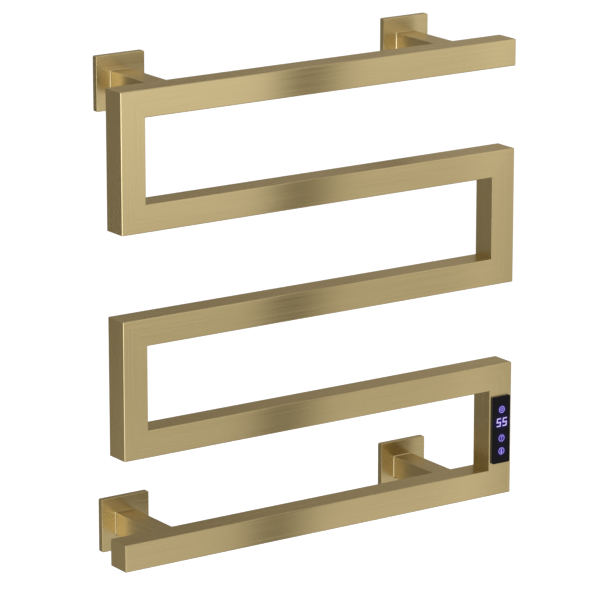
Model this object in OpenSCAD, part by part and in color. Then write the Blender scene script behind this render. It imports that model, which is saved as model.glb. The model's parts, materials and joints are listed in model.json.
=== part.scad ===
// Wall-hung electric towel warmer: one run of square tube folded into an S of five bars,
// held off the wall by four square standoffs, with a touch panel in the lower right upright.
// Millimetres. Origin on the wall plane at the centre of the four fixings.
// +X to the right, +Y into the wall, +Z up. The bars face -Y.

/* [Rack] */
// Overall width across the bars
rack_w = 510; // [400:10:800]
// Clear opening between one bar and the next
bar_gap = 92.5; // [88:0.5:150]
// Outside width of the square tube
tube_w = 30; // [28:1:40]
// Wall thickness of the square tube
tube_wall = 1.5; // [1:0.1:2]
// Outside corner radius of the square tube
tube_r = 1.5; // [0.5:0.1:2.4]
// Thickness of the plates that close the two free bar ends
cap_t = 1.5; // [1:0.1:3]
// Depth that an end plate's spigot reaches into the bar
cap_spigot = 6; // [3:0.5:12]

/* [Wall mounting] */
// Distance from the wall to the front of the bars
wall_reach = 118; // [100:1:160]
// Distance from the side of the rack to the centre of each standoff
standoff_inset = 69; // [60:1:150]
// Outside width of a standoff
standoff_w = 25; // [22:0.5:26]
// Wall thickness of a standoff
standoff_wall = 1.5; // [1:0.1:2]
// Outside corner radius of a standoff
standoff_r = 1; // [0.5:0.1:2]
// Side of the square cover plates
cover_w = 60; // [56:1:80]
// How far a cover plate stands off the wall
cover_depth = 7; // [6.5:0.5:12]
// Sheet thickness of a cover plate
cover_sheet = 1.2; // [0.8:0.1:1.5]
// Corner radius of a cover plate
cover_r = 1.5; // [1:0.1:4]
// Gap all round between a cover plate and the standoff it slides on
cover_slide_gap = 0.3; // [0.15:0.05:0.5]
// Gap between a wall plate and the inside of its cover plate
base_margin = 2.8; // [1:0.2:4]
// Thickness of a wall plate
base_t = 4; // [3:0.5:5]
// Length of the boss that a standoff slides over
boss_len = 24; // [18:1:40]
// Gap all round between a boss and the inside of its standoff
boss_gap = 0.15; // [0.05:0.05:0.4]
// Diameter of the wall screw holes
screw_hole_d = 5.2; // [4:0.1:6]
// Diameter of the countersinks for the wall screws
countersink_d = 9.2; // [8:0.1:10]
// Depth of those countersinks
countersink_depth = 2; // [1:0.1:2.5]
// Diameter of the grub screws that lock the standoffs
grub_d = 5; // [4:0.5:6]
// Length of a grub screw
grub_len = 8; // [6:0.5:10]
// Width across the flats of a grub screw's hexagon socket
grub_socket = 2.5; // [2:0.5:3]

/* [Supply inlet] */
// Diameter of the supply cable's way through the lower right standoff
inlet_hole_d = 12; // [10:0.5:14]
// Bore of the two rubber grommets
grommet_bore_d = 7.5; // [6:0.1:8.5]
// Diameter of a grommet's lips
grommet_lip_d = 16; // [15:0.5:17]
// Thickness of a grommet's lip
grommet_lip_t = 1.8; // [1:0.1:2]
// Length of the grommet's neck in the wall boss
grommet_neck = 7; // [4:0.5:12]
// Diameter of the earth stud
earth_d = 4; // [3:0.5:5]
// Length of the earth stud
earth_len = 8; // [6:0.5:10]
// Distance from the inlet to the earth stud
earth_offset = 36; // [24:1:60]
// Width across the corners of the earth nut
earth_nut_d = 8; // [7:0.5:9]
// Thickness of the earth nut
earth_nut_t = 3; // [2:0.5:4]
// Thickness of the earth tag
earth_tag_t = 0.8; // [0.5:0.1:1.2]

/* [Touch panel] */
// Width of the glass
glass_w = 23.5; // [22:0.5:25]
// Height of the glass
glass_h = 78; // [76:1:80]
// Thickness of the glass
glass_t = 1.8; // [1:0.1:3]
// Corner radius of the glass
glass_r = 1.5; // [0.5:0.1:3]
// Thickness of the adhesive under the glass
adhesive_t = 0.2; // [0.1:0.05:0.5]
// Width of the adhesive frame
adhesive_w = 2; // [1:0.25:2.25]
// Thickness of the tray's rim in front of the tube
rim_t = 1; // [0.6:0.1:2]
// How far the rim reaches past the tray at each side
rim_side = 2.25; // [1.5:0.25:2.5]
// How far the rim reaches past the tray at each end
rim_end = 7; // [6:0.5:8]
// Depth of the tray behind the front of the tube
tray_depth = 19; // [17:0.5:20]
// Wall thickness of the tray
tray_wall = 1.2; // [0.8:0.1:1.5]
// Gap all round between the tray and its cut-out
tray_gap = 0.2; // [0.1:0.05:0.4]
// Height of the on-off key above the middle of the panel
power_key_z = 23.6; // [22.8:0.1:23.7]
// Height of the two digits above the middle of the panel
digits_z = 8.9; // [7.5:0.1:10]
// Height of the timer key above the middle of the panel
timer_key_z = -9.7; // [-10.4:0.1:-8]
// Height of the temperature key above the middle of the panel
heat_key_z = -24.8; // [-26:0.1:-24.5]
// Width of the two-digit display
display_w = 15; // [12:0.5:16]
// Height of the two-digit display
display_h = 11; // [8:0.5:12]
// Outside diameter of a key's touch spring
key_spring_d = 7.2; // [6:0.1:7.4]
// Wire thickness of a touch spring
key_spring_wall = 0.6; // [0.4:0.1:0.8]
// Side of the lamp inside each key
key_lamp_w = 1.8; // [1:0.1:3]
// Height of a key lamp
key_lamp_t = 0.9; // [0.5:0.1:1.5]

/* [Circuit board] */
// Thickness of the board
board_t = 1.2; // [0.8:0.1:1.6]
// Gap between the glass and the board
board_behind_glass = 4; // [3.4:0.1:5]
// Gap all round between the board and the tray
board_gap = 0.2; // [0.1:0.05:0.4]
// Diameter of the posts that carry the board
post_d = 3.6; // [3:0.1:4]
// Diameter of the board screws
board_screw_d = 1.6; // [1.2:0.1:2]
// Diameter of the board screws' heads
board_screw_head_d = 3; // [2.6:0.1:3.2]
// Height of a board screw's head
board_screw_head_t = 1; // [0.6:0.1:1.4]
// Length of a board screw under its head
board_screw_len = 6; // [4:0.5:8]
// Width of the relay
relay_w = 10; // [6:0.5:15]
// How far the relay stands off the board
relay_depth = 10; // [8:0.5:12]
// Height of the relay
relay_h = 13; // [8:0.5:16]
// Height of the relay's lower face above the middle of the panel
relay_z = 6; // [4:0.5:8]
// Width of the power supply
supply_w = 14; // [8:0.5:15]
// How far the power supply stands off the board
supply_depth = 10; // [8:0.5:12]
// Height of the power supply
supply_h = 15; // [10:0.5:16]
// Height of the power supply's lower face above the middle of the panel
supply_z = -12.5; // [-13:0.5:-11]
// Width of the terminal blocks
terminal_w = 14; // [12:0.5:16]
// Height of the terminal blocks
terminal_h = 7; // [5:0.5:7]
// Material around the heating cable ends in a terminal block
terminal_wall = 1; // [0.8:0.1:1.2]
// Depth that a heating cable end reaches into its terminal
terminal_grip = 4; // [2:0.5:4.5]
// Diameter of the leads between the board and the terminals
lead_d = 1.6; // [1.2:0.1:2]
// Distance between a pair of leads
lead_pitch = 7; // [6:0.5:9]
// Clearance of a lead in the tray's end wall
lead_gap = 0.2; // [0.1:0.05:0.4]

/* [Heating] */
// Diameter of the heating cables
cable_d = 4.5; // [4:0.1:5]
// Bend radius of the heating cables, which is also half the distance between two runs
cable_turn = 9; // [8:0.25:9.5]
// Gap between a heating cable and what it lies on
cable_rest = 0.2; // [0.1:0.05:0.4]
// Distance from a free bar end to a heating cable's turn
cable_end = 30; // [20:1:60]
// Diameter of the temperature sensor
sensor_d = 4; // [3:0.1:4.5]
// Length of the temperature sensor
sensor_len = 16; // [10:1:25]
// Diameter of the overheat cut-out
cutout_d = 4; // [3:0.1:4.5]
// Length of the overheat cut-out
cutout_len = 12; // [10:1:20]
// Distance from the sensors to the middle of the control upright
sensor_setback = 32; // [25:1:60]
// Distance of each sensor from the middle of the bar
sensor_side = 3; // [2.8:0.1:3.4]
// Diameter of a sensor's lead
sensor_lead_d = 1.2; // [0.8:0.1:1.6]
// Bend radius of a sensor's lead
sensor_lead_turn = 4; // [3:0.5:6]

/* [Hidden] */
$fn = 48;
cut = 1;                                  // how far a cutter runs past what it cuts
bar_pitch = bar_gap + tube_w;
last_bar = 4;                             // bars are numbered 0 at the top to 4 at the bottom
y_front = -wall_reach;
y_mid = y_front + tube_w / 2;
y_back = y_front + tube_w;
x_side = rack_w / 2;                      // outside of the uprights
x_upright = x_side - tube_w / 2;          // middle of the uprights
x_standoff = x_side - standoff_inset;
tube_bore = tube_w - 2 * tube_wall;
standoff_bore = standoff_w - 2 * standoff_wall;
boss_w = standoff_bore - 2 * boss_gap;
base_w = cover_w - 2 * cover_sheet - 2 * base_margin;
wall_hole_z = (standoff_w + base_w) / 4;  // middle of the ledge beside the standoff
z_grub = standoff_w / 2;
y_grub = -base_t - boss_len / 2;
y_inlet = -base_t - boss_len;

z_panel = bar_z(last_bar) + bar_pitch / 2;
y_rim = y_front - rim_t;
y_glass = y_rim - adhesive_t;             // back of the glass
y_board = y_glass + board_behind_glass;   // front of the board
y_parts = y_board + board_t;              // back of the board
y_floor = y_front + tray_depth - tray_wall;
tray_w = glass_w - 2 * rim_side;
tray_h = glass_h - 2 * rim_end;
key_heights = [power_key_z, timer_key_z, heat_key_z];
top_post_z = tray_h / 2 - tray_wall - post_d / 2;
low_post_z = (timer_key_z + heat_key_z) / 2;
post_heights = [top_post_z, low_post_z];
y_lead = y_parts + min(relay_depth, supply_depth) / 2;
terminal_depth = 2 * (cable_turn + cable_d / 2 + terminal_wall);

cable_x_end = x_side - cable_end - cable_turn;
run_offsets = [-cable_turn, cable_turn];
z_terminal_top = z_panel + tray_h / 2 + terminal_h;
z_terminal_foot = z_panel - tray_h / 2 - terminal_h;
upper_route = [
    [x_upright, z_terminal_top - terminal_grip],
    for (i = [last_bar - 1:-1:1]) each
        [[arrival_side(i) * x_upright, run_z(i)], [-arrival_side(i) * x_upright, run_z(i)]],
    [-x_upright, run_z(0)],
    [cable_x_end, run_z(0)]
];
lower_route = [
    [x_upright, z_terminal_foot + terminal_grip],
    [x_upright, run_z(last_bar)],
    [-cable_x_end, run_z(last_bar)]
];

brass = "#b59a63";
steel = "#a9abad";
zinc = "#8d9094";
black = "#15161a";
rubber = "#26282b";

function bar_z(i) = (last_bar / 2 - i) * bar_pitch;
function run_z(i) = bar_z(i) - tube_bore / 2 + cable_rest + cable_d / 2;
function arrival_side(i) = i % 2 == 1 ? 1 : -1;
function unit(v) = v / norm(v);

// Rectangle with round corners, centred
module round_rect(w, h, r) {
    square([w, h - 2 * r], center = true);
    square([w - 2 * r, h], center = true);
    for (x = [-1, 1], y = [-1, 1])
        translate([x * (w / 2 - r), y * (h / 2 - r)]) circle(r);
}

module tube_section(w, wall, r) {
    difference() {
        round_rect(w, w, r);
        square(w - 2 * wall, center = true);
    }
}

// Extrudes an X-Z outline forwards, towards -Y, from the plane at y
module forwards(y, depth) {
    translate([0, y, 0]) rotate([90, 0, 0]) linear_extrude(depth) children();
}

// Waste on one side of a mitre. side is 1 at the right end and -1 at the left, way is 1 where
// the upright rises from the bar and -1 where it hangs, and z is the bar's middle.
module mitre_waste(side, z, way, from_bar) {
    inner = [side * (x_side - tube_w - cut), z + way * (tube_w / 2 + cut)];
    outer = [side * (x_side + cut), z - way * (tube_w / 2 + cut)];
    corner = from_bar ? [outer.x, inner.y] : [inner.x, outer.y];
    forwards(y_back + cut, tube_w + 2 * cut) polygon([inner, outer, corner]);
}

// One bar. left and right say how each end meets its upright: 1 it rises, -1 it hangs, 0 free.
module bar(i, left, right) {
    x_start = -x_side + (left == 0 ? cap_t : 0);
    x_stop = x_side - (right == 0 ? cap_t : 0);
    color(brass) difference() {
        translate([x_start, y_mid, bar_z(i)]) rotate([90, 0, 90])
            linear_extrude(x_stop - x_start) tube_section(tube_w, tube_wall, tube_r);
        if (left != 0) mitre_waste(-1, bar_z(i), left, true);
        if (right != 0) mitre_waste(1, bar_z(i), right, true);
        children();
    }
}

// One upright between bar i and the bar below it
module upright(i, side) {
    color(brass) difference() {
        translate([side * x_upright, y_mid, bar_z(i + 1) - tube_w / 2])
            linear_extrude(bar_pitch + tube_w) tube_section(tube_w, tube_wall, tube_r);
        mitre_waste(side, bar_z(i), -1, false);
        mitre_waste(side, bar_z(i + 1), 1, false);
        children();
    }
}

module end_plate(side, i) {
    spigot_w = tube_bore - 2 * boss_gap;
    color(brass) translate([side * x_side, y_mid, bar_z(i)]) rotate([0, side * -90, 0]) {
        linear_extrude(cap_t) round_rect(tube_w, tube_w, tube_r);
        linear_extrude(cap_t + cap_spigot) tube_section(spigot_w, tube_wall, tube_wall / 2);
    }
}

// Puts its children on the fixing at the given side and height
module at_fixing(side, z) {
    translate([side * x_standoff, 0, z]) children();
}

module standoff() {
    color(brass) difference() {
        forwards(-base_t, -y_back - base_t) tube_section(standoff_w, standoff_wall, standoff_r);
        translate([0, y_grub, -standoff_w]) cylinder(h = standoff_w, d = grub_d + 2 * boss_gap);
    }
}

module cover() {
    color(brass) difference() {
        forwards(0, cover_depth) round_rect(cover_w, cover_w, cover_r);
        forwards(cut, cover_depth - cover_sheet + cut)
            square(cover_w - 2 * cover_sheet, center = true);
        forwards(cut, cover_depth + 2 * cut) round_rect(
            standoff_w + 2 * cover_slide_gap, standoff_w + 2 * cover_slide_gap,
            standoff_r + cover_slide_gap);
    }
}

module wall_plate() {
    color(zinc) difference() {
        forwards(0, base_t) round_rect(base_w, base_w, cover_r);
        for (s = [-1, 1]) translate([0, 0, s * wall_hole_z]) rotate([90, 0, 0]) {
            translate([0, 0, -cut]) cylinder(h = base_t + 2 * cut, d = screw_hole_d);
            translate([0, 0, base_t - countersink_depth])
                cylinder(h = countersink_depth, d1 = screw_hole_d, d2 = countersink_d);
            translate([0, 0, base_t]) cylinder(h = cut, d = countersink_d);
        }
        children();
    }
}

// Block that stands on a wall plate and fills the end of a standoff
module boss() {
    color(zinc) difference() {
        forwards(-base_t, boss_len) round_rect(boss_w, boss_w, standoff_r / 2);
        translate([0, y_grub, -standoff_w / 2])
            cylinder(h = grub_len + boss_gap, d = grub_d + boss_gap);
        children();
    }
}

module inlet_hole() {
    rotate([90, 0, 0]) translate([0, 0, -cut])
        cylinder(h = base_t + boss_len + 2 * cut, d = inlet_hole_d);
}

module grub_screw() {
    color(steel) difference() {
        translate([0, y_grub, -z_grub + boss_gap]) cylinder(h = grub_len - boss_gap, d = grub_d);
        translate([0, y_grub, -z_grub - cut])
            cylinder(h = cut + grub_len / 3, d = grub_socket / cos(30), $fn = 6);
    }
}

module grub_screws() {
    for (side = [-1, 1], i = [0, last_bar]) at_fixing(side, bar_z(i)) grub_screw();
}

// Grommet on the Y axis: a neck with a lip in front and, where back_lip is set, one behind
module grommet(neck, back_lip) {
    color(rubber) rotate([90, 0, 0]) difference() {
        union() {
            translate([0, 0, -neck]) cylinder(h = neck + grommet_lip_t, d = inlet_hole_d);
            cylinder(h = grommet_lip_t, d = grommet_lip_d);
            if (back_lip) translate([0, 0, -neck - grommet_lip_t])
                cylinder(h = grommet_lip_t, d = grommet_lip_d);
        }
        translate([0, 0, -neck - grommet_lip_t - cut])
            cylinder(h = neck + 2 * grommet_lip_t + 2 * cut, d = grommet_bore_d);
    }
}

module wall_grommet() {
    at_fixing(1, bar_z(last_bar)) translate([0, y_inlet, 0]) grommet(grommet_neck, false);
}

module bar_grommet() {
    at_fixing(1, bar_z(last_bar)) translate([0, y_back - tube_wall, 0]) grommet(tube_wall, true);
}

module bar_inlet_hole() {
    at_fixing(1, bar_z(last_bar)) translate([0, y_back + cut, 0]) rotate([90, 0, 0])
        cylinder(h = tube_wall + 2 * cut, d = inlet_hole_d);
}

// Puts its children on the earth stud's foot, with +Z along the stud
module at_earth() {
    translate([x_standoff - earth_offset, y_back - tube_wall, bar_z(last_bar)])
        rotate([90, 0, 0]) children();
}

module earth_stud() {
    color(steel) at_earth() cylinder(h = earth_len, d = earth_d);
}

module earth_tag() {
    eye_d = earth_nut_d;
    color("#c9a24a") at_earth() linear_extrude(earth_tag_t) difference() {
        union() {
            circle(d = eye_d);
            translate([0, -eye_d / 4]) square([eye_d * 1.5, eye_d / 2]);
        }
        circle(d = earth_d + boss_gap);
    }
}

module earth_nut() {
    color(steel) at_earth() translate([0, 0, earth_tag_t]) difference() {
        cylinder(h = earth_nut_t, d = earth_nut_d, $fn = 6);
        translate([0, 0, -cut]) cylinder(h = earth_nut_t + 2 * cut, d = earth_d + boss_gap);
    }
}

// Puts its children on the middle of the panel
module at_panel() {
    translate([x_upright, 0, z_panel]) children();
}

module tray_opening() {
    at_panel() forwards(y_front + tube_wall + cut, tube_wall + 2 * cut)
        square([tray_w + 2 * tray_gap, tray_h + 2 * tray_gap], center = true);
}

module touch_glass() {
    color(black) at_panel() forwards(y_glass, glass_t) round_rect(glass_w, glass_h, glass_r);
}

module glass_adhesive() {
    color(rubber) at_panel() forwards(y_rim, adhesive_t) difference() {
        round_rect(glass_w, glass_h, glass_r);
        square([glass_w - 2 * adhesive_w, glass_h - 2 * adhesive_w], center = true);
    }
}

module tray_shell() {
    inside = [tray_w - 2 * tray_wall, tray_h - 2 * tray_wall];
    difference() {
        union() {
            forwards(y_front, rim_t) round_rect(glass_w, glass_h, glass_r);
            forwards(y_floor + tray_wall, tray_depth + rim_t / 2)
                square([tray_w, tray_h], center = true);
        }
        forwards(y_floor, tray_depth + rim_t) square(inside, center = true);
        for (x = [-1, 1]) translate([x * lead_pitch / 2, y_lead, -tray_h])
            cylinder(h = 2 * tray_h, d = lead_d + 2 * lead_gap);
    }
}

module control_tray() {
    color(black) at_panel() {
        tray_shell();
        for (z = post_heights) translate([0, y_floor, z]) rotate([90, 0, 0]) difference() {
            cylinder(h = y_floor - y_parts, d = post_d);
            translate([0, 0, y_floor - y_parts - board_screw_len])
                cylinder(h = board_screw_len + cut, d = board_screw_d);
        }
    }
}

module control_board() {
    w = tray_w - 2 * tray_wall - 2 * board_gap;
    h = tray_h - 2 * tray_wall - 2 * board_gap;
    color("#1e6b3a") at_panel() difference() {
        forwards(y_parts, board_t) square([w, h], center = true);
        for (z = post_heights) translate([0, y_parts + cut, z]) rotate([90, 0, 0])
            cylinder(h = board_t + 2 * cut, d = board_screw_d + board_gap);
    }
}

module board_screws() {
    color(steel) at_panel() for (z = post_heights) translate([0, y_board, z]) rotate([90, 0, 0]) {
        translate([0, 0, -board_screw_len + board_gap])
            cylinder(h = board_screw_len, d = board_screw_d);
        cylinder(h = board_screw_head_t, d = board_screw_head_d);
    }
}

module digit_display() {
    color("#e9e9f2") at_panel() translate([0, 0, digits_z])
        forwards(y_board, board_behind_glass) square([display_w, display_h], center = true);
}

module key_lamps() {
    color("#f2f2ff") at_panel() for (z = key_heights) translate([0, 0, z])
        forwards(y_board, key_lamp_t) square(key_lamp_w, center = true);
}

module touch_springs() {
    color(steel) at_panel() for (z = key_heights) translate([0, y_board, z]) rotate([90, 0, 0])
        difference() {
            cylinder(h = board_behind_glass, d = key_spring_d);
            translate([0, 0, -cut]) cylinder(
                h = board_behind_glass + 2 * cut, d = key_spring_d - 2 * key_spring_wall);
        }
}

// Box that stands on the back of the board, with its lower face at z
module on_board(size, z) {
    at_panel() translate([-size.x / 2, y_parts, z]) cube(size);
}

module heater_relay() {
    color("#2b4f8c") on_board([relay_w, relay_depth, relay_h], relay_z);
}

module power_supply() {
    color("#d8c24a") on_board([supply_w, supply_depth, supply_h], supply_z);
}

// Terminal block on one end of the tray: way is 1 above and -1 below
module terminal(way) {
    hole_d = cable_d + boss_gap;
    color("#e8e6dc") at_panel() translate([0, y_mid, way * tray_h / 2]) difference() {
        translate([-terminal_w / 2, -terminal_depth / 2, way > 0 ? 0 : -terminal_h])
            cube([terminal_w, terminal_depth, terminal_h]);
        for (y = run_offsets) translate([0, y, way > 0 ? terminal_h - terminal_grip : -terminal_h - cut])
            cylinder(h = terminal_grip + cut, d = hole_d);
    }
}

// Pair of leads between two heights on the board's back
module leads(z_low, z_high, tint) {
    color(tint) at_panel() for (x = [-1, 1]) translate([x * lead_pitch / 2, y_lead, z_low])
        cylinder(h = z_high - z_low, d = lead_d);
}

module heater_leads() {
    leads(relay_z + relay_h, tray_h / 2, "#c4342b");
}

module supply_leads() {
    leads(-tray_h / 2, supply_z, "#6a4a2c");
}

// Straight rod between two points of the X-Z plane
module rod(a, b, d) {
    way = b - a;
    translate([a.x, 0, a.y]) rotate([0, atan2(way.x, way.y), 0]) cylinder(h = norm(way), d = d);
}

// Quarter bend of radius turn at the point p, between the directions of the points a and b
module elbow(a, p, b, turn, d) {
    u = unit(a - p);
    v = unit(b - p);
    c = p + turn * (u + v);
    side = v.y * u.x - v.x * u.y;
    multmatrix([
        [-v.x, -u.x, 0, c.x],
        [0, 0, side, 0],
        [-v.y, -u.y, 0, c.y],
        [0, 0, 0, 1]
    ]) rotate_extrude(angle = 90) translate([turn, 0]) circle(d = d);
}

// Round wire along points of the X-Z plane, with a bend at each point between the ends
module wire(route, turn, d) {
    n = len(route);
    for (i = [0:n - 2]) {
        way = unit(route[i + 1] - route[i]);
        start = route[i] + (i == 0 ? 0 : turn) * way;
        stop = route[i + 1] - (i == n - 2 ? 0 : turn) * way;
        rod(start, stop, d);
    }
    for (i = [1:1:n - 2]) elbow(route[i - 1], route[i], route[i + 1], turn, d);
}

// Heating cable: out along the route, round the end of its last bar and back beside itself
module heating_cable(route, side) {
    last = route[len(route) - 1];
    color("#8e2f26") {
        for (y = run_offsets) translate([0, y_mid + y, 0]) wire(route, cable_turn, cable_d);
        translate([last.x, y_mid, last.y]) rotate([0, 0, side * -90])
            rotate_extrude(angle = 180) translate([cable_turn, 0]) circle(d = cable_d);
    }
}

// Probe that lies in the fourth bar, with its lead down to the heater terminal
module probe(d, length, y, tint) {
    z = bar_z(last_bar - 1) - tube_bore / 2 + cable_rest + d / 2;
    stop = x_upright - sensor_setback;
    color(tint) translate([0, y_mid + y, 0]) {
        rod([stop - length, z], [stop, z], d);
        wire([[stop, z], [x_upright, z], [x_upright, z_terminal_top]], sensor_lead_turn, sensor_lead_d);
    }
}

module temperature_sensor() {
    probe(sensor_d, sensor_len, -sensor_side, "#b9bcc0");
}

module overheat_cutout() {
    probe(cutout_d, cutout_len, sensor_side, "#e4dfd2");
}

bar(0, -1, 0);  // top_bar
bar(1, 1, -1);  // second_bar
bar(2, -1, 1);  // middle_bar
bar(3, 1, -1);  // fourth_bar
bar(4, 0, 1) bar_inlet_hole();  // bottom_bar
upright(0, -1);  // upper_left_upright
upright(1, 1);  // upper_right_upright
upright(2, -1);  // lower_left_upright
upright(3, 1) tray_opening();  // control_upright
end_plate(1, 0);  // top_bar_end_plate
end_plate(-1, last_bar);  // bottom_bar_end_plate
at_fixing(-1, bar_z(0)) standoff();  // top_left_standoff
at_fixing(1, bar_z(0)) standoff();  // top_right_standoff
at_fixing(-1, bar_z(last_bar)) standoff();  // bottom_left_standoff
at_fixing(1, bar_z(last_bar)) standoff();  // bottom_right_standoff
at_fixing(-1, bar_z(0)) cover();  // top_left_cover
at_fixing(1, bar_z(0)) cover();  // top_right_cover
at_fixing(-1, bar_z(last_bar)) cover();  // bottom_left_cover
at_fixing(1, bar_z(last_bar)) cover();  // bottom_right_cover
at_fixing(-1, bar_z(0)) wall_plate();  // top_left_wall_plate
at_fixing(1, bar_z(0)) wall_plate();  // top_right_wall_plate
at_fixing(-1, bar_z(last_bar)) wall_plate();  // bottom_left_wall_plate
at_fixing(1, bar_z(last_bar)) wall_plate() inlet_hole();  // bottom_right_wall_plate
at_fixing(-1, bar_z(0)) boss();  // top_left_boss
at_fixing(1, bar_z(0)) boss();  // top_right_boss
at_fixing(-1, bar_z(last_bar)) boss();  // bottom_left_boss
at_fixing(1, bar_z(last_bar)) boss() inlet_hole();  // bottom_right_boss
grub_screws();
wall_grommet();
bar_grommet();
earth_stud();
earth_tag();
earth_nut();
touch_glass();
glass_adhesive();
control_tray();
control_board();
board_screws();
digit_display();
key_lamps();
touch_springs();
heater_relay();
power_supply();
terminal(1);  // heater_terminal
terminal(-1);  // supply_terminal
heater_leads();
supply_leads();
heating_cable(upper_route, 1);  // upper_heating_cable
heating_cable(lower_route, -1);  // lower_heating_cable
temperature_sensor();
overheat_cutout();
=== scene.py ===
import json
import math

import bmesh
import bpy
import numpy as np
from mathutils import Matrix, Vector

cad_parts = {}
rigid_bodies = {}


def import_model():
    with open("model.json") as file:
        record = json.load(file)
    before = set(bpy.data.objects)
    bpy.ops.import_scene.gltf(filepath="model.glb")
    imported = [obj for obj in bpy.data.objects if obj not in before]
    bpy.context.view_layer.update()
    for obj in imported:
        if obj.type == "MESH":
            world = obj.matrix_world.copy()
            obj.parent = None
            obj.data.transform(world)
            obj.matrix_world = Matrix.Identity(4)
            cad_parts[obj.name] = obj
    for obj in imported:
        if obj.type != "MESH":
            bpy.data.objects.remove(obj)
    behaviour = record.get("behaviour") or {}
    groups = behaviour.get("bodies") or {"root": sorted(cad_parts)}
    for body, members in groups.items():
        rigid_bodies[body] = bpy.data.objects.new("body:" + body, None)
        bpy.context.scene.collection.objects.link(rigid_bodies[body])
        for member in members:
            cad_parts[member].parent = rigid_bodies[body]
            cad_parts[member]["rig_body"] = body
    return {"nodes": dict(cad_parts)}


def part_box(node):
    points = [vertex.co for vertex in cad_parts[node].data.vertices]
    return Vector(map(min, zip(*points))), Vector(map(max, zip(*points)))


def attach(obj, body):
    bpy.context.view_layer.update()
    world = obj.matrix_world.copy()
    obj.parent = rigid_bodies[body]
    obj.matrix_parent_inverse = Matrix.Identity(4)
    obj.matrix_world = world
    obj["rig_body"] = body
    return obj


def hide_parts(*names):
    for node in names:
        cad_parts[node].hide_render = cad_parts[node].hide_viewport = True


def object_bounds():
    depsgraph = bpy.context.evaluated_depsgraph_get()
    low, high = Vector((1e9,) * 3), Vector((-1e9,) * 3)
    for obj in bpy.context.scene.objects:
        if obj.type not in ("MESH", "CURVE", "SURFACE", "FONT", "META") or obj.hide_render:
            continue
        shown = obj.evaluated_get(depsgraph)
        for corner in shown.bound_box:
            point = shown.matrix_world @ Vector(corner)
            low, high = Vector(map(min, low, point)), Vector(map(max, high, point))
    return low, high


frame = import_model()
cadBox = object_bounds()
mm = 0.001
print("frame loaded,", len(frame["nodes"]), "nodes")

bpy.context.scene.view_settings.view_transform = "Standard"


# Shader maths

class Value:  # one socket, so that a sum of sockets reads as a sum
    def __init__(self, finish, socket):
        self.finish = finish
        self.socket = socket

    def maths(self, operation, *others):
        return self.finish.add("ShaderNodeMath", {"operation": operation}, (self, *others))

    def __add__(self, other):
        return self.maths("ADD", other)

    def __sub__(self, other):
        return self.maths("SUBTRACT", other)

    def __mul__(self, other):
        return self.maths("MULTIPLY", other)

    def __rsub__(self, other):
        return self.finish.add("ShaderNodeMath", {"operation": "SUBTRACT"}, (other, self))

    def __pow__(self, other):
        return self.maths("POWER", other)

    __radd__ = __add__
    __rmul__ = __mul__


class Finish:  # the node tree of a new material, or one that is handed in
    def __init__(self, name, tree=None):
        self.material = None
        if tree is None:
            self.material = bpy.data.materials.new(name)
            self.material.use_nodes = True
            tree = self.material.node_tree
        self.nodes, self.links = tree.nodes, tree.links
        self.nodes.clear()

    def add(self, kind, settings=None, inputs=(), output=0):
        node = self.nodes.new(kind)
        for key, value in (settings or {}).items():
            setattr(node, key, value)
        for key, value in inputs.items() if isinstance(inputs, dict) else enumerate(inputs):
            if isinstance(value, Value):
                self.links.new(value.socket, node.inputs[key])
            else:
                node.inputs[key].default_value = value
        return Value(self, node.outputs[output]) if node.outputs else None

    def objectPlace(self):
        return self.add("ShaderNodeTexCoord", output="Object")

    def blend(self, mask, first, second):  # first where the mask is 0, second where it is 1
        return self.add("ShaderNodeMix", {"data_type": "RGBA"}, {0: mask, 6: first, 7: second}, 2)

    def noise(self, places, scale, detail):  # scale: blotches to a metre, along each axis
        stretched = self.add("ShaderNodeVectorMath", {"operation": "MULTIPLY"}, {0: places, 1: scale})
        return self.add("ShaderNodeTexNoise", None, {"Vector": stretched, "Scale": 1.0, "Detail": detail})

    def bump(self, height, depth):
        return self.add("ShaderNodeBump", None, {"Strength": 1.0, "Distance": depth, "Height": height})

    def principled(self, **sockets):
        inputs = {name.replace("_", " "): value for name, value in sockets.items()}
        return self.add("ShaderNodeBsdfPrincipled", None, inputs)

    def close(self, shader, kind="ShaderNodeOutputMaterial"):
        self.add(kind, None, (shader,))
        return self.material


# Finishes

brass = {
    "pale": (0.638, 0.513, 0.268, 1),
    "deep": (0.572, 0.458, 0.233, 1),
    "edge": (1.0, 0.93, 0.85, 1),   # tint of the sheen seen at a slant
    "roughness": 0.25,
    "anisotropy": 0.9,              # blurs the gloss across the brush lines
    "fine": (2600, 16, 1),          # hair lines, 0.4 mm apart: lines to a metre, across and along
    "broad": (520, 5, 1),           # bands of lines, 2 mm wide
    "cloud": (30, 6, 1),            # slow change along a tube
    "shares": (0.3, 0.5, 0.2),      # of hair lines, bands and clouds in the colour
    "contrast": 3.2,                # how hard they part the two colours
    "unevenness": (0.10, 0.05),     # of the roughness, from the bands and from the hair lines
    "lineDepth": 0.003 * mm,
}


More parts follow.
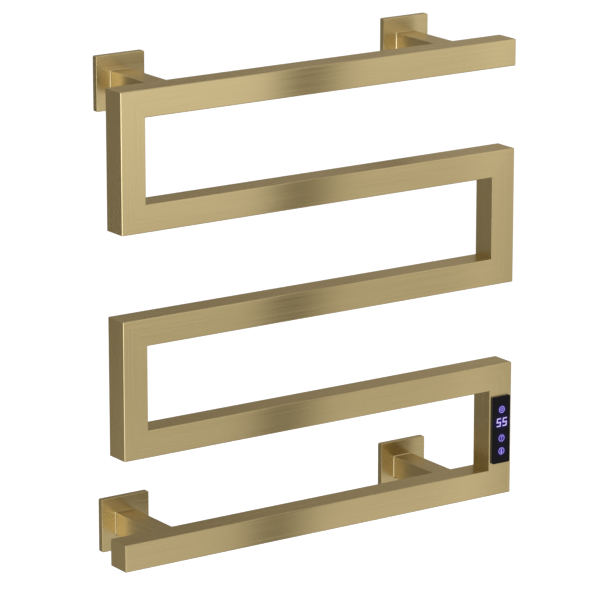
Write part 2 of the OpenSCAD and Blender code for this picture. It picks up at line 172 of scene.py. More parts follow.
def brushedBrass():
    f = Finish("brushed_brass")
    places = f.add("ShaderNodeUVMap", {"uv_map": "grain"})
    fine = f.noise(places, brass["fine"], detail=3.0)
    broad = f.noise(places, brass["broad"], detail=2.0)
    cloud = f.noise(places, brass["cloud"], detail=1.0)
    fineShare, broadShare, cloudShare = brass["shares"]
    lines = fine * fineShare + broad * broadShare + cloud * cloudShare
    mask = lines * brass["contrast"] - (brass["contrast"] - 1) / 2  # a half where the lines are at a half
    fromBroad, fromFine = brass["unevenness"]
    return f.close(f.principled(
        Base_Color=f.blend(mask, brass["deep"], brass["pale"]),
        Metallic=1.0,
        Roughness=brass["roughness"] + (broad - 0.5) * fromBroad + (fine - 0.5) * fromFine,
        Specular_Tint=brass["edge"],
        Anisotropic=brass["anisotropy"],
        Tangent=f.add("ShaderNodeTangent", {"direction_type": "UV_MAP", "uv_map": "spread"}),
        Normal=f.bump(fine * 0.5 + broad * 0.5, brass["lineDepth"]),
    ))


glass = {
    "colour": (0.006, 0.006, 0.008, 1),
    "smear": (0.009, 0.008, 0.010, 1),
    "smearScale": (60, 60, 25),
    "smearRoughness": 0.05,
    "roughness": 0.10,
    "ior": 1.15,
    # painted glow: the blue halo of the lit marks' light in the glass, given as the glass's own emission
    "glow": (0.018, 0.001, 0.250, 1),
}

# Lit marks: height above the middle of the glass, then how far the painted glow of their light in the glass
# reaches across and up
keys = {
    "power_key": (23.6 * mm, 3.6 * mm, 3.6 * mm),
    "temperature_digits": (8.9 * mm, 6.6 * mm, 4.8 * mm),
    "timer_key": (-9.7 * mm, 3.6 * mm, 3.6 * mm),
    "heat_key": (-24.8 * mm, 3.6 * mm, 3.6 * mm),
}


def blackGlass():
    f = Finish("black_touch_glass")
    place = f.objectPlace()
    x, z = (f.add("ShaderNodeSeparateXYZ", None, (place,), axis) for axis in "XZ")
    low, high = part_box("touch_glass")
    middle = (low + high) / 2
    glow = 0
    # A painted glow round each mark: e to the minus of its squared distance over its reach
    for height, reachX, reachZ in keys.values():
        across, up = (x - middle.x) * (1 / reachX), (z - (middle.z + height)) * (1 / reachZ)
        glow = glow + ((across * across + up * up) * -1).maths("EXPONENT")
    smear = f.noise(place, glass["smearScale"], detail=3.0)
    return f.close(f.principled(
        Base_Color=f.blend(smear, glass["colour"], glass["smear"]),
        Roughness=glass["roughness"] + smear * glass["smearRoughness"],
        IOR=glass["ior"],
        # the glass itself emits the painted glow round the marks
        Emission_Color=f.blend(glow, (0, 0, 0, 1), glass["glow"]),
        Emission_Strength=1.0,
    ))


lit = {
    "ground": (0.05, 0.04, 0.08, 1),
    "roughness": 0.3,
    "unevenness": 0.1,
    "patches": (700, 700, 700),
    "key": ((0.28, 0.20, 1.0, 1), (0.48, 0.38, 1.0, 1)),       # dim and bright patches of a lit key
    "digit": ((0.54, 0.43, 0.90, 1), (0.74, 0.62, 0.98, 1)),
}


def litMark(name, dim, bright):
    f = Finish(name)
    patchy = f.noise(f.objectPlace(), lit["patches"], detail=1.0)
    return f.close(f.principled(
        Base_Color=lit["ground"],
        Roughness=lit["roughness"] + patchy * lit["unevenness"],
        Emission_Color=f.blend(patchy, dim, bright),
        Emission_Strength=1.0,
    ))


# The pieces inside and behind: first and second colour, roughness, metal, blotches to a metre along each
# axis, depth of the bump in mm
plainFinishes = {
    "plated_steel": ((0.52, 0.54, 0.56), (0.66, 0.67, 0.68), 0.34, 1, (260, 260, 900), 0.01),
    "screw_steel": ((0.40, 0.41, 0.43), (0.62, 0.62, 0.62), 0.30, 1, (900, 900, 900), 0.02),
    "grommet_rubber": ((0.018, 0.018, 0.019), (0.035, 0.034, 0.033), 0.70, 0, (1400, 1400, 1400), 0.02),
    "adhesive_foam": ((0.03, 0.03, 0.03), (0.06, 0.06, 0.06), 0.85, 0, (2500, 2500, 2500), 0.03),
    "tray_plastic": ((0.022, 0.022, 0.024), (0.04, 0.04, 0.042), 0.48, 0, (2200, 2200, 2200), 0.015),
    "board_green": ((0.02, 0.13, 0.05), (0.03, 0.19, 0.08), 0.40, 0, (700, 700, 300), 0.02),
    "display_face": ((0.05, 0.05, 0.06), (0.08, 0.08, 0.10), 0.25, 0, (600, 600, 600), 0.005),
    "lamp_lens": ((0.50, 0.47, 0.75), (0.75, 0.72, 0.90), 0.22, 0, (900, 900, 900), 0.005),
    "spring_steel": ((0.45, 0.45, 0.46), (0.60, 0.60, 0.60), 0.28, 1, (1500, 1500, 300), 0.01),
    "relay_case": ((0.02, 0.05, 0.16), (0.03, 0.07, 0.22), 0.45, 0, (1800, 1800, 1800), 0.015),
    "supply_case": ((0.03, 0.03, 0.03), (0.05, 0.05, 0.05), 0.50, 0, (1800, 1800, 1800), 0.015),
    "terminal_plastic": ((0.62, 0.60, 0.54), (0.72, 0.70, 0.64), 0.42, 0, (1600, 1600, 1600), 0.015),
    "red_lead": ((0.48, 0.03, 0.02), (0.58, 0.05, 0.03), 0.45, 0, (1200, 1200, 200), 0.01),
    "brown_lead": ((0.12, 0.05, 0.02), (0.18, 0.08, 0.04), 0.45, 0, (1200, 1200, 200), 0.01),
    "heater_silicone": ((0.30, 0.07, 0.04), (0.40, 0.11, 0.07), 0.55, 0, (900, 900, 900), 0.02),
    "probe_steel": ((0.50, 0.50, 0.51), (0.66, 0.66, 0.66), 0.26, 1, (300, 2400, 2400), 0.01),
    "cutout_ceramic": ((0.70, 0.68, 0.62), (0.80, 0.78, 0.74), 0.60, 0, (2000, 2000, 2000), 0.02),
    "tag_brass": ((0.60, 0.45, 0.16), (0.72, 0.57, 0.25), 0.33, 1, (800, 800, 800), 0.01),
}


blotchy = {
    "slower": 12,                 # the slow change is this many times the size of a blotch
    "shares": (0.6, 0.4),         # of blotches and slow change in the colour
    "unevenness": (0.08, 0.12),   # of the roughness, from the blotches and from the slow change
}


def plainFinish(name, first, second, roughness, metal, scale, depth):
    f = Finish(name)
    place = f.objectPlace()
    blotches = f.noise(place, scale, detail=3.0)
    slow = f.noise(place, tuple(s / blotchy["slower"] for s in scale), detail=1.0)
    blotchShare, slowShare = blotchy["shares"]
    fromBlotches, fromSlow = blotchy["unevenness"]
    return f.close(f.principled(
        Base_Color=f.blend(blotches * blotchShare + slow * slowShare, (*first, 1), (*second, 1)),
        Metallic=float(metal),
        Roughness=roughness + (slow - 0.5) * fromSlow + (blotches - 0.5) * fromBlotches,
        Normal=f.bump(blotches, depth * mm),
    ))


finishes = {slot: plainFinish(slot + "_finish", *look) for slot, look in plainFinishes.items()}
finishes["brass_finish"] = brushedBrass()
finishes["black_glass"] = blackGlass()
finishes["key_light"] = litMark("lit_key", *lit["key"])
finishes["digit_light"] = litMark("lit_digit", *lit["digit"])
for node in frame["nodes"].values():
    for place in node.material_slots:
        place.material = finishes[place.material.name.split(".")[0]]
print("finishes made:", len(finishes))


# Shapes

def otherAxes(axis):
    return [a for a in range(3) if a != axis]


def roundedRect(halfWide, halfHigh, radius, steps=8, shoulder=0.3 * mm):
    # Four quarter circles, centre + radius * (cos a, sin a), each with a point on the straight just before it
    # and one just after it
    turn = np.linspace(0, math.pi / 2, steps + 1)
    arc = np.stack([radius * np.cos(turn), radius * np.sin(turn)], 1)
    corner = np.concatenate([[[radius, -shoulder]], arc, [[-shoulder, radius]]])
    quarter = np.arange(4) * math.pi / 2
    spin = np.stack([np.cos(quarter), -np.sin(quarter), np.sin(quarter), np.cos(quarter)], 1).reshape(4, 2, 2)
    centre = np.array([[1, 1], [-1, 1], [-1, -1], [1, -1]]) * [halfWide - radius, halfHigh - radius]
    return (np.einsum("kab,mb->kma", spin, corner) + centre[:, None]).reshape(-1, 2)


def shell(rows, ring):
    # rows[i, j] is point j of outline i. Outline i joins outline i + 1 by quads, and a ring joins its last
    # outline to its first.
    rows = np.asarray(rows, float)
    count, around = rows.shape[:2]
    i, j = np.meshgrid(np.arange(count if ring else count - 1), np.arange(around), indexing="ij")
    nextI, nextJ = (i + 1) % count, (j + 1) % around
    quads = np.stack([i * around + j, i * around + nextJ, nextI * around + nextJ, nextI * around + j], -1)
    faces = quads.reshape(-1, 4).tolist()
    if not ring:  # two flat caps
        faces += [list(range(around))[::-1], list(range((count - 1) * around, count * around))]
    return rows.reshape(-1, 3), faces


def makePiece(name, shells, finish):
    points, faces, start = [], [], 0
    for corners, quads in shells:
        faces += [[start + k for k in face] for face in quads]
        points.append(corners)
        start += len(corners)
    mesh = bpy.data.meshes.new(name)
    mesh.from_pydata(np.concatenate(points).tolist(), [], faces)
    piece = bpy.data.objects.new(name, mesh)
    bpy.context.scene.collection.objects.link(piece)
    work = bmesh.new()
    work.from_mesh(mesh)
    bmesh.ops.recalc_face_normals(work, faces=work.faces)
    work.to_mesh(mesh)
    work.free()
    mesh.materials.append(finish)
    smoothen(piece)
    return piece


def smoothen(piece, sharp=math.radians(40)):
    piece.data.shade_smooth()
    piece.data.set_sharp_from_angle(angle=sharp)


def cutAway(piece, *cutters):
    for cutter in cutters:
        cut = piece.modifiers.new("cut", "BOOLEAN")
        cut.operation, cut.solver, cut.object = "DIFFERENCE", "EXACT", cutter
    shaped = piece.evaluated_get(bpy.context.evaluated_depsgraph_get())
    mesh = bpy.data.meshes.new_from_object(shaped)
    piece.modifiers.clear()
    piece.data = mesh
    for cutter in cutters:
        bpy.data.objects.remove(cutter)
    smoothen(piece)


grainStep = (0.37, 0.71)  # metres from one piece's patch of grain to the next one's, across and along


def mapGrain(piece, brush, count):
    # Two maps in metres, across the lines then along them. "grain" places the brush lines, and "spread" turns
    # the gloss, which blurs up and down on every front. A face leaves out the axis it points along.
    mesh = piece.data
    corners = np.zeros(len(mesh.loops), int)
    mesh.loops.foreach_get("vertex_index", corners)
    points = np.zeros(len(mesh.vertices) * 3)
    mesh.vertices.foreach_get("co", points)
    points = points.reshape(-1, 3)[corners]
    normals = np.zeros(len(mesh.polygons) * 3)
    mesh.polygons.foreach_get("normal", normals)
    sizes = np.zeros(len(mesh.polygons), int)
    mesh.polygons.foreach_get("loop_total", sizes)
    facing = np.repeat(np.abs(normals.reshape(-1, 3)).argmax(1), sizes)
    pick = np.arange(len(corners))
    for name, axis in (("grain", brush), ("spread", 0)):
        along = np.where(facing == axis, 0 if axis == 2 else 2, axis)
        across = 3 - facing - along
        flat = np.stack([points[pick, across], points[pick, along]], 1) + count * np.array(grainStep)
        mesh.uv_layers.new(name=name).uv.foreach_set("vector", flat.astype(np.float32).ravel())


pieceCount = 0


def standFor(piece, node, brush=None):  # the piece takes the place of that CAD node
    global pieceCount
    pieceCount += 1
    if brush is not None:
        mapGrain(piece, brush, pieceCount)
    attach(piece, frame["nodes"][node]["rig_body"])
    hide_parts(node)


def pin(axis, centre, radius, low, high, steps=40):
    # A round cutter along an axis, from low to high on it: centre + radius * (cos a, sin a)
    turn = np.linspace(0, 2 * math.pi, steps, endpoint=False)
    rows = np.zeros((2, steps, 3))
    first, second = otherAxes(axis)
    rows[..., first] = centre[first] + radius * np.cos(turn)
    rows[..., second] = centre[second] + radius * np.sin(turn)
    rows[0, :, axis], rows[1, :, axis] = low, high
    return makePiece("cutter", [shell(rows, False)], None)


# Square tubes

tube = {"radius": 1.0 * mm, "wall": 1.5 * mm, "leastRadius": 0.3 * mm}
# node: axis, then which way each end leans (0 cut square, 1 or -1 mitred to rise or fall with the side)
tubes = {
    "top_bar": (0, (-1, 0)),
    "second_bar": (0, (1, 1)),
    "middle_bar": (0, (-1, -1)),
    "fourth_bar": (0, (1, 1)),
    "bottom_bar": (0, (0, -1)),
    "upper_left_upright": (2, (1, -1)),
    "upper_right_upright": (2, (-1, 1)),
    "lower_left_upright": (2, (1, -1)),
    "control_upright": (2, (-1, 1)),
}
ease = np.array([0, 0.08, 0.2, 0.36, 0.56, 0.8, 1.1, 1.5, 2.0, 3.0]) * mm  # stations close to an end
tiny = 1e-9  # keeps a division by nothing away


def squareTube(name, node, axis, leans, radius, wall):
    # A rounded square carried along the axis. At a mitred end each point stops at end + lean * its side
    # offset, and the outer corner of the mitre is pulled in to a quarter circle: centre + radius * unit
    # vector.
    low, high = (np.array(v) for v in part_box(node))
    side, other = {0: (2, 1), 1: (0, 2), 2: (0, 1)}[axis]  # a mitre leans with the side
    half = (high[side] - low[side]) / 2
    middle = (low + high) / 2

    def rows(outline, stops):
        out = np.zeros((len(stops), len(outline), 3))
        out[..., side] = outline[:, 0]
        out[..., other] = outline[:, 1]
        out[..., axis] = stops
        return out

    outline = roundedRect(half, half, radius)
    bore = roundedRect(half - wall, half - wall, max(radius - wall, tube["leastRadius"]))
    starts = [low[axis] + abs(leans[0]) * half + leans[0] * o[:, 0] for o in (outline, bore)]
    ends = [high[axis] - abs(leans[1]) * half + leans[1] * o[:, 0] for o in (outline, bore)]
    outer = rows(outline, np.concatenate([starts[0] + ease[:, None], ends[0] - ease[::-1, None]]))
    for lean, tip, way in ((leans[0], low[axis], -1), (leans[1], high[axis], 1)):
        if lean:
            out = lean * way  # the side that reaches furthest
            past = np.stack([(outer[..., axis] - tip) * way, outer[..., side] * out - half], -1) + radius
            reach = np.linalg.norm(past, axis=-1, keepdims=True)
            outside = (past > 0).all(-1, keepdims=True) & (reach > radius)
            held = np.where(outside, past / np.maximum(reach, tiny) * radius, past)
            outer[..., axis] = (held[..., 0] - radius) * way + tip
            outer[..., side] = (held[..., 1] + half - radius) * out
    inner = rows(bore, np.stack([ends[1], starts[1]]))
    solid = np.concatenate([outer, inner])
    solid[..., side] += middle[side]
    solid[..., other] += middle[other]
    return makePiece(name, [shell(solid, True)], finishes["brass_finish"])


traySlot = {"gap": 0.2 * mm, "corner": 1 * mm, "rim": 0.1 * mm, "before": 3 * mm, "beyond": 2 * mm}


def trayCutter():  # the slot in the control upright for the tray, round all of it that is deeper than its rim
    tray = frame["nodes"]["control_tray"].data
    points = np.array([v.co for v in tray.vertices])
    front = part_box("control_upright")[0].y
    deeper = points[points[:, 1] > front + traySlot["rim"]]
    low, high = deeper.min(0), deeper.max(0)
    half, middle = (high - low) / 2 + traySlot["gap"], (low + high) / 2
    outline = roundedRect(half[0], half[2], traySlot["corner"], 4)
    rows = np.zeros((2, len(outline), 3))
    rows[..., 0] = outline[:, 0] + middle[0]
    rows[..., 2] = outline[:, 1] + middle[2]
    rows[0, :, 1] = front - traySlot["before"]
    rows[1, :, 1] = front + tube["wall"] + traySlot["beyond"]
    return makePiece("cutter", [shell(rows, False)], None)


for node, (axis, leans) in tubes.items():
    piece = squareTube(node + "_tube", node, axis, leans, tube["radius"], tube["wall"])
    if node == "control_upright":
        cutAway(piece, trayCutter())
    standFor(piece, node, brush=axis)
print("tubes made:", len(tubes))


# Blocks of stacked outlines: end plates, covers, glass

def stack(rows, centre, axis, leastRadius=0.1 * mm):
    # Outlines carried along the axis; each row is (half width, half height, corner radius, place on the axis)
    first, second = otherAxes(axis)
    out = []
    for halfWide, halfHigh, radius, place in rows:
        outline = roundedRect(halfWide, halfHigh, max(radius, leastRadius))
        row = np.zeros((len(outline), 3))
        row[:, first] = centre[first] + outline[:, 0]
        row[:, second] = centre[second] + outline[:, 1]
        row[:, axis] = place
        out.append(row)
    return np.array(out)


def roundOver(radius, steps=6):
    # A quarter round as (inset, depth back from the face): radius * (1 - cos a), radius * (1 - sin a)
    turn = np.linspace(0, math.pi / 2, steps + 1)
    return np.stack([radius * (1 - np.cos(turn)), radius * (1 - np.sin(turn))], 1)


def drawnIn(halfWide, halfHigh, corner, inset, place):  # a row for stack, its outline drawn in by the inset
    return halfWide - inset, halfHigh - inset, corner - inset, place


endPlate = {
    "thick": 1.5 * mm,
    "edge": 0.7 * mm,
    "flatInset": 1.2 * mm,      # from its side to where its face is flat
    "spigotInset": 1.7 * mm,
    "spigotCorner": 0.3 * mm,
}
for node, way in (("top_bar_end_plate", 1), ("bottom_bar_end_plate", -1)):
    low, high = (np.array(v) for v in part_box(node))
    half, middle = (high[2] - low[2]) / 2, (low + high) / 2
    face = high[0] if way > 0 else low[0]
    deep = low[0] if way > 0 else high[0]
    root = face - way * endPlate["thick"]
    narrow = half - endPlate["spigotInset"]
    spigot = (narrow, narrow, endPlate["spigotCorner"])
    rows = [(*spigot, deep), (*spigot, root), (half, half, tube["radius"], root)]
    rows += [drawnIn(half, half, tube["radius"], inset, face - way * back)
             for inset, back in roundOver(endPlate["edge"])]
    rows += [drawnIn(half, half, tube["radius"], endPlate["flatInset"], face)]
    piece = makePiece(node + "_cap", [shell(stack(rows, middle, 0), False)], finishes["brass_finish"])
    standFor(piece, node, brush=0)

standoff = {
    "radius": 1.0 * mm,
    "wall": 1.5 * mm,
    "screwHole": 2.65 * mm,            # its radius
    "screwBack": 16 * mm,              # from the wall
    "screwCut": (-2 * mm, 3 * mm),     # the cutter's ends, from the underside
}
cover = {
    "sheet": 1.2 * mm,
    "corner": 1.5 * mm,
    "insideCorner": 0.3 * mm,
    "edge": 0.5 * mm,
    "flatInset": 1.1 * mm,             # from its side to where its face is flat, and as far down its side
    "gap": 0.1 * mm,                   # round the standoff
    "collar": 0.85 * mm,
}
for corner in ("top_left", "top_right", "bottom_left", "bottom_right"):
    node = corner + "_standoff"
    piece = squareTube(node + "_tube", node, 1, (0, 0), standoff["radius"], standoff["wall"])
    low, high = (np.array(v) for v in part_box(node))
    middle = (low + high) / 2
    cutFrom, cutTo = (low[2] + z for z in standoff["screwCut"])
    cutAway(piece, pin(2, (middle[0], -standoff["screwBack"], 0), standoff["screwHole"], cutFrom, cutTo))
    standFor(piece, node, brush=1)

    holeHalf = (high[0] - low[0]) / 2 + cover["gap"]
    node = corner + "_cover"
    low, high = (np.array(v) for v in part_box(node))
    half, middle = (high[0] - low[0]) / 2, (low + high) / 2
    front, wall = low[1], high[1]
    back = front + cover["sheet"]
    inside = half - cover["sheet"]
    hole = (holeHalf, holeHalf, standoff["radius"] + cover["gap"])
    outer = (half, half, cover["corner"])
    inner = (inside, inside, cover["insideCorner"])
    rows = [(*hole, back), (*hole, front - cover["collar"])]
    rows += [drawnIn(*hole, -cover["collar"], front)]  # the collar slopes down to the face
    rows += [drawnIn(*outer, cover["flatInset"], front)]
    rows += [drawnIn(*outer, inset, front + deep) for inset, deep in roundOver(cover["edge"])[::-1]]
    rows += [(*outer, front + cover["flatInset"]), (*outer, wall), (*inner, wall), (*inner, back)]
    piece = makePiece(node + "_plate", [shell(stack(rows, middle, 1), True)], finishes["brass_finish"])
    standFor(piece, node, brush=0)
print("standoffs, covers and end plates made")

# Touch panel

panel = {
    "edge": 0.45 * mm,
    "corner": 1.5 * mm,
    "flatInset": 0.9 * mm,      # from its side to where its face is flat
    "markHeight": 0.06 * mm,    # the marks stand this far out of the glass
    "markSunk": 0.1 * mm,
}
low, high = (np.array(v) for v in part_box("touch_glass"))
middle = (low + high) / 2
halfWide, halfHigh = (high[0] - low[0]) / 2, (high[2] - low[2]) / 2
glassFace = low[1] + panel["markHeight"]
outer = (halfWide, halfHigh, panel["corner"])
rows = [(*outer, high[1])]
rows += [drawnIn(*outer, inset, glassFace + deep) for inset, deep in roundOver(panel["edge"])]
rows += [drawnIn(*outer, panel["flatInset"], glassFace)]
piece = makePiece("touch_glass_panel", [shell(stack(rows, middle, 1), False)], finishes["black_glass"])
standFor(piece, "touch_glass")


def ribbon(path, widths, closed=False):
    # A flat strip carried along a path in the plane of the glass. Each row is the path point plus and minus
    # half a width times the mitre, which is the normal of the bend's bisector over the cosine of half the
    # bend; first at the front, then at the back.
    path = np.asarray(path, float) * mm
    after, before = np.roll(path, -1, 0) - path, path - np.roll(path, 1, 0)
    if not closed:
        after[-1], before[0] = before[-1], after[0]
    after /= np.linalg.norm(after, axis=1, keepdims=True)
    before /= np.linalg.norm(before, axis=1, keepdims=True)
    way = after + before
    mitre = np.stack([-way[:, 1], way[:, 0]], 1) / (1 + (after * before).sum(1))[:, None]
    mitre *= np.broadcast_to(np.asarray(widths, float), len(path))[:, None] / 2 * mm
    front, back = low[1], glassFace + panel["markSunk"]
    rows = np.zeros((len(path), 4, 3))
    rows[:, (0, 3), 0], rows[:, (0, 3), 2] = (path + mitre)[:, None, 0], (path + mitre)[:, None, 1]
    rows[:, (1, 2), 0], rows[:, (1, 2), 2] = (path - mitre)[:, None, 0], (path - mitre)[:, None, 1]
    rows[:, :2, 1], rows[:, 2:, 1] = front, back
    return rows, closed


arcSteps = 60


def circle(radius, first=0, last=360, centre=(0, 0)):
    # Points of an arc, centre + radius * (sin a, cos a), its angles clockwise from straight up
    turn = np.radians(np.linspace(first, last, arcSteps + 1))
    if last - first == 360:
        turn = turn[:-1]
    return np.stack([centre[0] + radius * np.sin(turn), centre[1] + radius * np.cos(turn)], 1)


mark = {  # in mm, across and up from the middle of the mark
    "line": 0.72,
    "ring": 3.6,
    "knobRing": 3.5,             # round the power key
    "knobs": 10,
    "knobLine": 1.15,            # width of the knobbly ring, in lines
    "knob": 0.55,                # how far a knob widens it, and how far it narrows between two, in lines
    "powerArc": (1.5, 40, 320),  # radius, then its ends in degrees clockwise from straight up
    "powerArcLine": 0.9,         # in lines
    "powerStem": ((0, 0.4), (0, 2.3)),
    "timerHands": ((-1.2, 1.3), (0.9, 1.7), (-0.6, -1.9)),
    "heatStem": ((0, -0.6), (0, 2.5)),
    "heatStemLine": 1.9,         # in lines
    "heatBulb": (0, -1.3),
    "heatBulbRadius": 0.6,
    "heatBulbLine": 1.1,
    "digitWide": 4.75,
    "digitHigh": 8.6,
    "digitLine": 1.22,
    "digitStep": 8.2,            # from one digit to the next
    "slant": 0.12,               # across over up
}


def drawMark(name, strips, finish):
    centre = np.array([middle[0], 0, middle[2] + keys[name][0]])
    piece = makePiece(name, [shell(rows + centre, closed) for rows, closed in strips], finish)
    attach(piece, "rack")


line = mark["line"]
ring = ribbon(circle(mark["ring"]), line, True)
knobs = np.cos(np.linspace(0, mark["knobs"] * 2 * math.pi, arcSteps + 1)[:-1])
knobbly = line * (mark["knobLine"] + mark["knob"] * knobs)
drawMark("power_key", [
    ribbon(circle(mark["knobRing"]), knobbly, True),
    ribbon(circle(*mark["powerArc"]), line * mark["powerArcLine"]),
    ribbon(mark["powerStem"], line),
], finishes["key_light"])
drawMark("timer_key", [ring, ribbon(mark["timerHands"], line)], finishes["key_light"])
drawMark("heat_key", [
    ring,
    ribbon(mark["heatStem"], line * mark["heatStemLine"]),
    ribbon(circle(mark["heatBulbRadius"], centre=mark["heatBulb"]), mark["heatBulbLine"], True),
], finishes["key_light"])
wide, tall = mark["digitWide"] / 2, mark["digitHigh"] / 2
five = [(wide, tall), (-wide, tall), (-wide, 0), (wide, 0), (wide, -tall), (-wide, -tall)]
drawMark("temperature_digits", [
    ribbon([(x + z * mark["slant"] + step * mark["digitStep"], z) for x, z in five], mark["digitLine"])
    for step in (-0.5, 0.5)
], finishes["digit_light"])
print("touch panel made")


# Studio

view = {"lens": 245.5, "place": (-2.423, -3.629, 1.128), "turn": 34.26, "tilt": 14.79, "farthest": 60}
lens = bpy.data.cameras.new("camera")
lens.lens, lens.clip_end = view["lens"], view["farthest"]
camera = bpy.data.objects.new("camera", lens)
camera.location = view["place"]
camera.rotation_euler = (math.radians(90 - view["tilt"]), 0, -math.radians(view["turn"]))
bpy.context.scene.collection.objects.link(camera)
bpy.context.scene.camera = camera

studio = {
    "fill": 0.55,                # the white surround, as plain surfaces are lit by it
    "floorDrop": 1.15,           # below the middle of the rack
    "floorSize": 16,
    "floorPaints": ((0.80, 0.80, 0.80, 1), (0.83, 0.83, 0.83, 1)),
    "floorSpeckle": (40, 40, 40),
    "floorRoughness": 0.8,
    "floorGloss": 0.1,
    "floorGlow": 0.6,            # where it is seen directly
    "cardWarmth": (1.05, 1.18),  # powers of a card's level in green and blue: its dim parts are warmer
}


def seenDirectly(f):  # 1 for what the camera, gloss and glass see, 0 for the light on plain surfaces
    rays = ("Is Camera Ray", "Is Glossy Ray", "Is Transmission Ray")
    direct, glossy, through = (f.add("ShaderNodeLightPath", output=name) for name in rays)
    return (direct + glossy + through).maths("MINIMUM", 1.0)


world = bpy.data.worlds.new("studio")
bpy.context.scene.world = world
world.use_nodes = True
world.cycles.sampling_method = "NONE"
f = Finish("studio", world.node_tree)
strength = seenDirectly(f) * (1 - studio["fill"]) + studio["fill"]
surround = f.add("ShaderNodeBackground", None, {"Color": (1, 1, 1, 1), "Strength": strength})
f.close(surround, "ShaderNodeOutputWorld")

f = Finish("pale_floor")
speckle = f.noise(f.objectPlace(), studio["floorSpeckle"], detail=4.0)
floorFinish = f.close(f.principled(
    Base_Color=f.blend(speckle, *studio["floorPaints"]),
    Roughness=studio["floorRoughness"],
    Specular_IOR_Level=studio["floorGloss"],
    Emission_Color=f.blend(seenDirectly(f), (0, 0, 0, 1), (studio["floorGlow"],) * 3 + (1,)),
    Emission_Strength=1.0,
))
reach = studio["floorSize"] / 2
corners = np.array([[-1, -1], [1, -1], [1, 1], [-1, 1]]) * reach
floorHeight = float(cadBox[0].z + cadBox[1].z) / 2 - studio["floorDrop"]
mesh = bpy.data.meshes.new("floor")
mesh.from_pydata([(x, y, floorHeight) for x, y in corners], [], [(0, 1, 2, 3)])
mesh.materials.append(floorFinish)
floor = bpy.data.objects.new("floor", mesh)
bpy.context.scene.collection.objects.link(floor)


def cardFinish():
    f = Finish("light_card")
    level = f.add("ShaderNodeAttribute", {"attribute_name": "level"}, output="Fac")
    green, blue = (level ** power for power in studio["cardWarmth"])
    colour = f.add("ShaderNodeCombineColor", None, (level, green, blue))
    return f.close(f.add("ShaderNodeEmission", None, {"Color": colour, "Strength": 1.0}))


cardLight = cardFinish()
cardLight.cycles.emission_sampling = "NONE"


def lightCard(name, points, levels):  # a sheet whose glow is given at each grid point; only gloss sees it
    rows, columns = points.shape[:2]
    i, j = np.meshgrid(np.arange(rows - 1), np.arange(columns - 1), indexing="ij")
    corner = i * columns + j
    quads = np.stack([corner, corner + 1, corner + columns + 1, corner + columns], -1)
    mesh = bpy.data.meshes.new(name)
    mesh.from_pydata(points.reshape(-1, 3).tolist(), [], quads.reshape(-1, 4).tolist())
    glow = mesh.attributes.new("level", "FLOAT", "POINT")
    glow.data.foreach_set("value", levels.astype(np.float32).ravel())
    mesh.materials.append(cardLight)
    card = bpy.data.objects.new(name, mesh)
    bpy.context.scene.collection.objects.link(card)
    card.visible_camera = card.visible_diffuse = card.visible_shadow = False


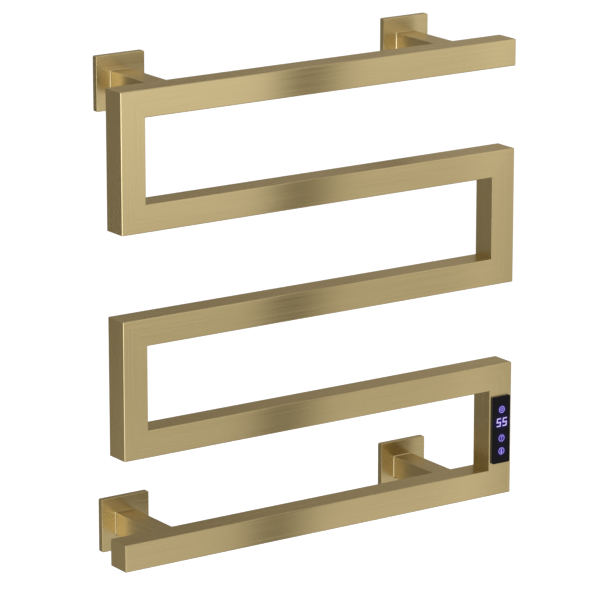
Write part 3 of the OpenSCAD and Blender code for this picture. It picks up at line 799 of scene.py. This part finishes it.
# A tent of light cards round the rack, seen only in its gloss. Each faces along its axis, at its place on it,
# and glows by the product of two ramps, one across it and one up it, given as place: level. The places across
# shift by lean times the place up.
tent = {
    "window_card": {
        "axis": 1, "place": -0.47, "lean": 0.086,
        "across": {-0.95: 1.7, -0.82: 1.4, -0.66: 2.0, -0.54: 3.3, -0.44: 3.3, -0.32: 1.8, -0.2: 1.3},
        "up": {-0.85: 0.6, -0.4: 0.57, -0.1: 0.85, 0.1: 1.1, 0.3: 0.9, 0.75: 0.4},
    },
    "front_card": {  # ends at the middle of a narrow black flag, which draws the dark band on the bars
        "axis": 1, "place": -0.47, "lean": 0.086,
        "across": {-0.2: 1.4, -0.1: 1.0, 0.12: 1.0, 0.15: 1.15, 0.18: 0.27, 0.205: 0.15},
        "up": {-0.85: 0.9, -0.4: 0.82, -0.25: 0.68, -0.1: 0.66, 0.2: 1.12, 0.75: 0.6},
    },
    "front_right_card": {
        "axis": 1, "place": -0.47, "lean": 0.086,
        "across": {0.205: 0.15, 0.235: 0.42, 0.26: 0.97, 0.45: 0.92,
                   0.48: 1.2, 0.5: 1.2, 0.54: 0.8, 1.25: 0.7},
        "up": {-0.85: 0.9, -0.4: 0.88, -0.15: 0.68, 0.0: 0.74, 0.2: 0.99, 0.75: 0.8},
    },
    "back_left_card": {
        "axis": 1, "place": 0.55, "lean": 0,
        "across": {-0.95: 0.6, -0.6: 0.24, -0.4: 0.22},
        "up": {-0.85: 1.0, -0.4: 1.05, -0.2: 0.75, 0.75: 0.65},
    },
    "back_card": {
        "axis": 1, "place": 0.55, "lean": 0,
        "across": {-0.4: 0.22, -0.2: 0.32, 0.25: 0.24, 0.75: 0.37, 1.25: 0.25},
        "up": {-0.85: 0.7, -0.4: 0.75, 0.0: 1.0, 0.25: 1.2, 0.75: 0.9},
    },
    "left_card": {
        "axis": 0, "place": -0.95, "lean": 0,
        "across": {-0.47: 1.0, 0.0: 0.5, 0.55: 0.15},
        "up": {-0.85: 1.0, 0.75: 0.8},
    },
    "right_card": {
        "axis": 0, "place": 1.25, "lean": 0,
        "across": {-0.47: 0.6, 0.55: 0.6},
        "up": {-0.85: 1.0, 0.75: 1.0},
    },
    "top_card": {
        "axis": 2, "place": 0.75, "lean": 0,
        "across": {-0.95: 1.0, 0.1: 0.7, 1.25: 0.8},
        "up": {-0.47: 0.9, 0.55: 1.1},
    },
    "bottom_card": {
        "axis": 2, "place": -0.85, "lean": 0,
        "across": {-0.95: 0.1, 1.25: 0.1},
        "up": {-0.47: 1.0, 0.55: 1.0},
    },
}

for name, card in tent.items():
    across, up = np.meshgrid(list(card["across"]), list(card["up"]))
    points = np.full(across.shape + (3,), float(card["place"]))
    first, second = otherAxes(card["axis"])
    points[..., first], points[..., second] = across + card["lean"] * up, up
    lightCard(name, points, np.outer(list(card["up"].values()), list(card["across"].values())))
print("studio made")


lamps = {  # place, size in metres, power in watts; all aim at the middle of the rack
    "key_lamp": ((-1.6, -2.2, 1.8), 1.2, 28),
    "fill_lamp": ((2.0, -1.6, 1.2), 1.4, 14),
    "back_lamp": ((0.6, 2.0, 1.6), 1.2, 12),
}
for name, (place, size, power) in lamps.items():
    light = bpy.data.lights.new(name, "AREA")
    light.size, light.energy = size, power
    lamp = bpy.data.objects.new(name, light)
    lamp.location = place
    lamp.rotation_euler = (-Vector(place)).to_track_quat("-Z", "Y").to_euler()
    lamp.visible_glossy = False
    bpy.context.scene.collection.objects.link(lamp)
print("lamps set")
